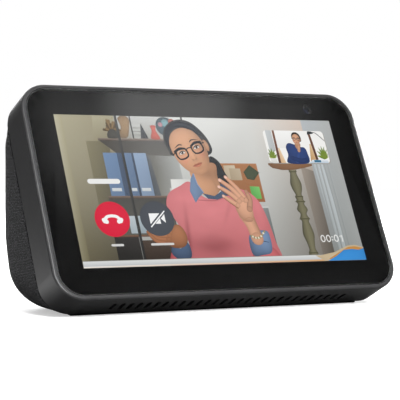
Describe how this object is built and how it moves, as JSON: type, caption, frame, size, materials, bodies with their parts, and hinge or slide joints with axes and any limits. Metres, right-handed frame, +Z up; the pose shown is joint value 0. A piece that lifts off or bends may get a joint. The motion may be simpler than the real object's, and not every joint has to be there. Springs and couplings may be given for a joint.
{
  "type": "smart display",
  "caption": "Leaning touch screen slab on a fabric covered wedge with a speaker, top buttons, a camera shutter slider and a flat rubber foot.",
  "frame": {"origin": "centre of the footprint, on the surface that the rubber foot rests on", "axes": "+X to the right as seen from the front, the screen faces -Y and leans back 25 degrees, +Z up"},
  "size_m": [0.1486, 0.0729, 0.0844],
  "materials": {
    "cover_glass": "polished",
    "black_print": "gloss black ink under glass",
    "adhesive_foam": "matte",
    "clear_film": "clear",
    "screen_picture": "lit picture",
    "white_film": "diffuse white",
    "steel": "pressed",
    "housing_plastic": "fine satin charcoal",
    "black_component": "moulded",
    "lens_glass": "coated",
    "button_plastic": "satin",
    "white_strip": "matte",
    "circuit_board": "solder resist",
    "rubber_seal": "matte",
    "screw_steel": "zinc plated",
    "shield_metal": "tin plated",
    "aluminium": "satin",
    "flex_film": "polyimide",
    "antenna_board": "thin laminate",
    "panel_plastic": "fine textured black",
    "magnet": "ground ferrite",
    "paper_cone": "pressed paper",
    "copper_wire": "enamelled copper",
    "spider_cloth": "treated cloth",
    "wire_insulation": "smooth",
    "fabric": "charcoal knit",
    "foot_rubber": "matte"
  },
  "bodies": {
    "root": {"cover_glass": "cover_glass", "border_mask": "black_print", "glass_adhesive": "adhesive_foam", "touch_panel": "clear_film", "lcd_panel": "screen_picture", "backlight_unit": "white_film", "display_frame": "steel", "front_housing": "housing_plastic", "camera_module": "black_component", "camera_lens": "lens_glass", "light_sensor": "black_component", "button_board": "circuit_board", "button_switches": "steel", "microphones": "steel", "mic_gaskets": "rubber_seal", "button_board_screws": "screw_steel", "mid_frame": "steel", "mid_frame_screws": "screw_steel", "main_board": "circuit_board", "board_chips": "black_component", "shield_can": "shield_metal", "heat_spreader": "aluminium", "main_board_screws": "screw_steel", "display_flex": "flex_film", "button_flex": "flex_film", "camera_flex": "flex_film", "wifi_antennas": "antenna_board", "io_board": "circuit_board", "power_jack": "black_component", "micro_usb_port": "shield_metal", "port_panel": "panel_plastic", "io_board_screws": "screw_steel", "speaker_enclosure": "panel_plastic", "speaker_basket": "steel", "speaker_yoke": "steel", "speaker_magnet": "magnet", "speaker_top_plate": "steel", "speaker_surround": "rubber_seal", "speaker_spider": "spider_cloth", "speaker_gasket": "adhesive_foam", "speaker_screws": "screw_steel", "speaker_wires": "wire_insulation", "rear_shell": "panel_plastic", "fabric_cover": "fabric", "base_plate": "panel_plastic", "base_screws": "screw_steel", "rubber_foot": "foot_rubber"},
    "volume_up": {"volume_up_button": "button_plastic"},
    "volume_down": {"volume_down_button": "button_plastic"},
    "mic_mute": {"mic_mute_button": "button_plastic"},
    "shutter": {"shutter_slider": "button_plastic", "shutter_blade": "white_strip"},
    "cone": {"speaker_cone": "paper_cone", "speaker_dust_cap": "paper_cone", "voice_coil": "copper_wire"}
  },
  "joints": [
    {"name": "volume_up_press", "type": "slide", "parent": "root", "child": "volume_up", "axis": [0, -0.4226, -0.9063], "range_m": [0, 0.0005], "stiffness_N_per_m": 3000},
    {"name": "volume_down_press", "type": "slide", "parent": "root", "child": "volume_down", "axis": [0, -0.4226, -0.9063], "range_m": [0, 0.0005], "stiffness_N_per_m": 3000},
    {"name": "mic_mute_press", "type": "slide", "parent": "root", "child": "mic_mute", "axis": [0, -0.4226, -0.9063], "range_m": [0, 0.0005], "stiffness_N_per_m": 3000},
    {"name": "shutter_slide", "type": "slide", "parent": "root", "child": "shutter", "axis": [1, 0, 0], "range_m": [0, 0.005]},
    {"name": "cone_stroke", "type": "slide", "parent": "root", "child": "cone", "axis": [0, 0.9063, 0.4226], "range_m": [-0.001, 0.001], "stiffness_N_per_m": 1500, "deforming": ["speaker_surround", "speaker_spider"]}
  ]
}
